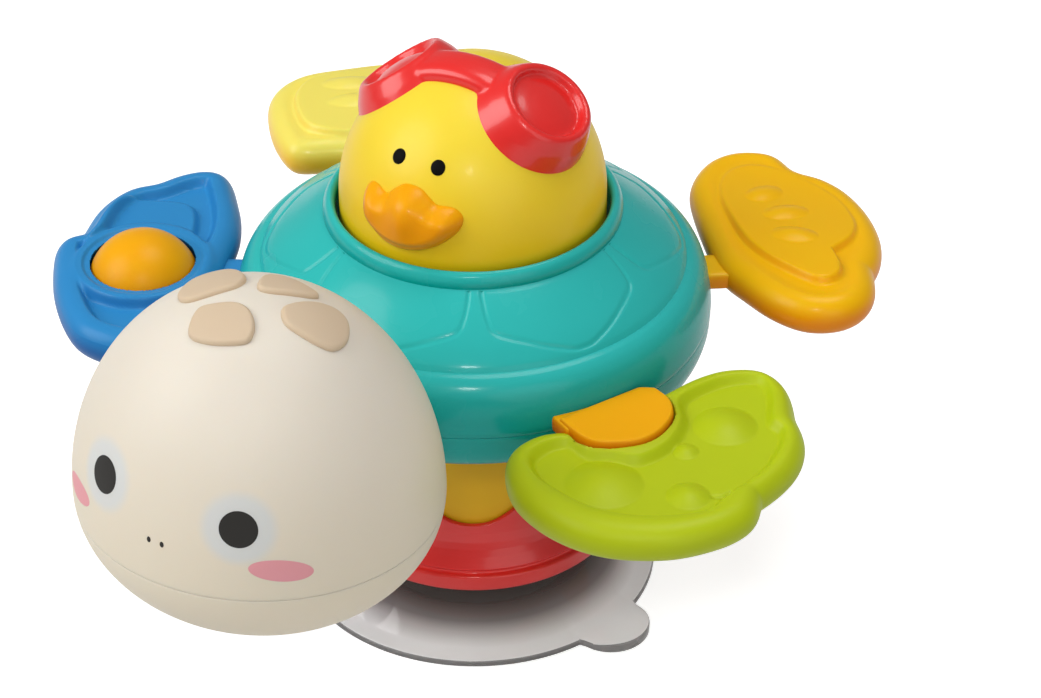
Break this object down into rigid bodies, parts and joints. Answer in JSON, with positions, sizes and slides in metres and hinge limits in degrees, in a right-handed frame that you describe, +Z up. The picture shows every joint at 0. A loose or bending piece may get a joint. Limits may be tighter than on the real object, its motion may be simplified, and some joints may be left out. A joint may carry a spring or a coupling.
{
  "type": "suction spinner toy",
  "caption": "Turtle-shaped baby toy that spins on a column over a suction cup, with a press-down duck, a rolling ball and a soft teether flipper.",
  "frame": {"origin": "on the table, under the middle of the toy's outline", "axes": "+Z up, the turtle and the duck face along -Y, +X towards the turtle's left"},
  "size_m": [0.1694, 0.1944, 0.1278],
  "materials": {
    "teal_plastic": "gloss moulded plastic",
    "cream_plastic": "fine satin moulded plastic",
    "tan_plastic": "fine satin moulded plastic",
    "yellow_plastic": "soft gloss moulded plastic",
    "pale_yellow_plastic": "soft gloss moulded plastic",
    "orange_plastic": "soft gloss moulded plastic",
    "red_plastic": "gloss moulded plastic",
    "blue_plastic": "soft gloss moulded plastic",
    "green_rubber": "smooth silicone with a satin face",
    "clear_cup": "clear soft vinyl",
    "white_plastic": "plain moulded plastic",
    "steel": "bright zinc"
  },
  "bodies": {
    "base": {"suction_cup": "clear_cup", "base_plate": "white_plastic", "base_skirt": "red_plastic", "base_column": "yellow_plastic", "base_screw_1": "steel", "base_screw_2": "steel", "base_screw_3": "steel", "spindle": "steel", "thrust_washer": "white_plastic", "spindle_washer": "steel", "spindle_screw": "steel"},
    "turtle": {"shell_lower": "teal_plastic", "shell_upper": "teal_plastic", "hub_bush": "white_plastic", "shell_screw_1": "steel", "shell_screw_2": "steel", "shell_screw_3": "steel", "shell_screw_4": "steel", "shell_screw_5": "steel", "neck": "cream_plastic", "head_upper": "cream_plastic", "head_lower": "cream_plastic", "head_spot_right": "tan_plastic", "head_spot_rear": "tan_plastic", "head_spot_front": "tan_plastic", "head_spot_left": "tan_plastic", "head_screw_1": "steel", "head_screw_2": "steel", "ball_flipper_upper": "blue_plastic", "ball_flipper_lower": "blue_plastic", "flipper_screw_1": "steel", "flipper_screw_2": "steel", "flipper_screw_3": "steel", "clip_upper": "orange_plastic", "clip_lower": "orange_plastic", "soft_paddle": "green_rubber", "clip_screw_1": "steel", "clip_screw_2": "steel", "rear_flipper_left": "orange_plastic", "rear_flipper_right": "pale_yellow_plastic", "return_spring": "steel"},
    "duck": {"duck_dome": "yellow_plastic", "duck_chassis": "white_plastic", "duck_beak": "orange_plastic", "duck_goggles": "red_plastic", "duck_screw_1": "steel", "duck_screw_2": "steel"},
    "ball": {"roller_ball": "orange_plastic"}
  },
  "joints": [
    {"name": "turtle_spin", "type": "hinge", "parent": "base", "child": "turtle", "pos_m": [-0.0013, 0.02164, 0.0703], "axis": [0, 0, 1], "continuous": true},
    {"name": "duck_press", "type": "slide", "parent": "turtle", "child": "duck", "axis": [0, 0, -1], "range_m": [0, 0.0024], "stiffness_N_per_m": 400, "springref_m": -0.004, "deforming": ["return_spring"]},
    {"name": "ball_roll", "type": "hinge", "parent": "turtle", "child": "ball", "pos_m": [-0.06302, -0.01035, 0.0715], "axis": [1, 0, 0], "continuous": true}
  ]
}
